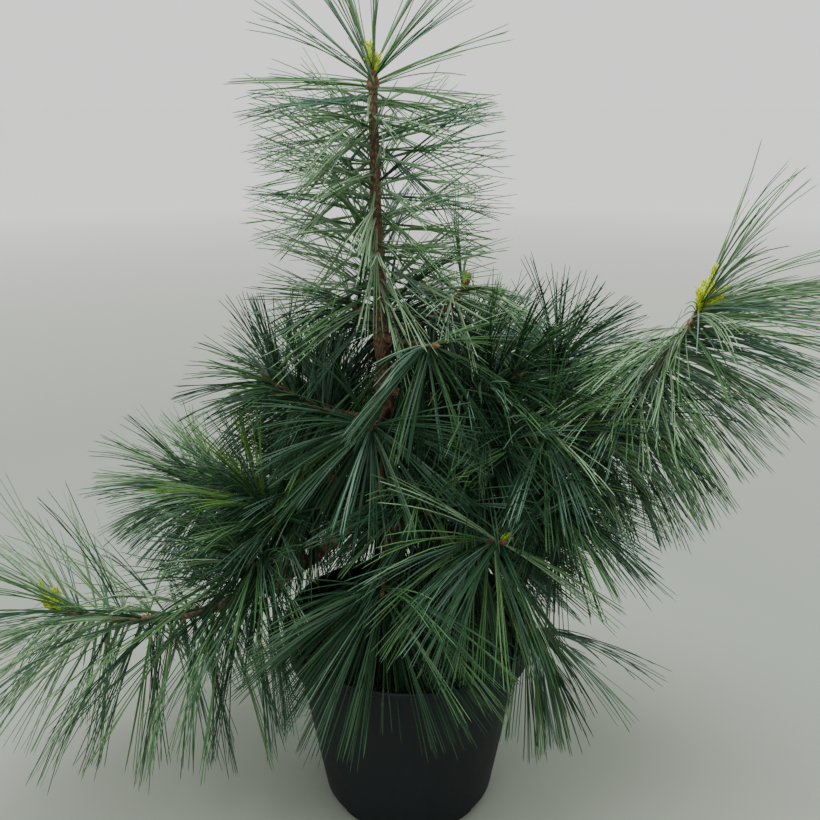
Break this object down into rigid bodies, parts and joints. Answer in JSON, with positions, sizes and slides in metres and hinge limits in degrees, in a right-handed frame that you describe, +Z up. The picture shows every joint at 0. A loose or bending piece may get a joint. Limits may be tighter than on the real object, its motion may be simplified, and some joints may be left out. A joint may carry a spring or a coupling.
{
  "type": "potted dwarf eastern white pine",
  "caption": "Young dwarf white pine with long soft needles on open, spreading side shoots and one upright leader, in a plain round black nursery pot.",
  "frame": {"origin": "the middle of the pot's flat underside, on the surface the pot stands on", "axes": "+Z up along the pot's axis, +X to the right and -Y to the front, towards the picture's viewer"},
  "size_m": [0.6742, 0.4126, 0.6453],
  "materials": {
    "black_plastic": "plain moulded polypropylene, near black with a faint grey sheen",
    "potting_mix": "damp reddish-brown composted bark and peat, coarse and matt",
    "bark": "thin reddish-brown bark with small scales and greenish grooves",
    "needles": "dark blue-green waxy needles in bundles of five, with yellow-green buds"
  },
  "bodies": {
    "root": {"pot": "black_plastic", "potting_mix": "potting_mix", "trunk": "bark", "bough_left_low": "bark", "bough_left_green": "bark", "bough_left_tan": "bark", "bough_left_back": "bark", "bough_left_middle": "bark", "bough_left_upper": "bark", "bough_right_big": "bark", "bough_right_short": "bark", "bough_right_lower": "bark", "bough_right_front": "bark", "bough_right_foot": "bark", "bough_front_right": "bark", "bough_front_middle": "bark", "bough_front_inner": "bark", "bough_front_centre": "bark", "bough_front_high": "bark", "bough_middle_right": "bark", "bough_whorl_front": "bark", "bough_whorl_right": "bark", "bough_whorl_left": "bark", "bough_whorl_back": "bark", "bough_back_left": "bark", "bough_back_right": "bark", "bough_back_low": "bark", "bough_right_back": "bark", "foliage_left_low": "needles", "foliage_left_green": "needles", "foliage_left_tan": "needles", "foliage_left_back": "needles", "foliage_left_middle": "needles", "foliage_left_upper": "needles", "foliage_right_big": "needles", "foliage_right_short": "needles", "foliage_right_lower": "needles", "foliage_right_front": "needles", "foliage_right_foot": "needles", "foliage_front_right": "needles", "foliage_front_middle": "needles", "foliage_front_inner": "needles", "foliage_front_centre": "needles", "foliage_front_high": "needles", "foliage_middle_right": "needles", "foliage_whorl_front": "needles", "foliage_whorl_right": "needles", "foliage_whorl_left": "needles", "foliage_whorl_back": "needles", "foliage_back_left": "needles", "foliage_back_right": "needles", "foliage_back_low": "needles", "foliage_right_back": "needles", "foliage_leader_1": "needles", "foliage_leader_2": "needles", "foliage_leader_3": "needles", "foliage_leader_4": "needles", "foliage_leader_top": "needles"}
  },
  "joints": []
}
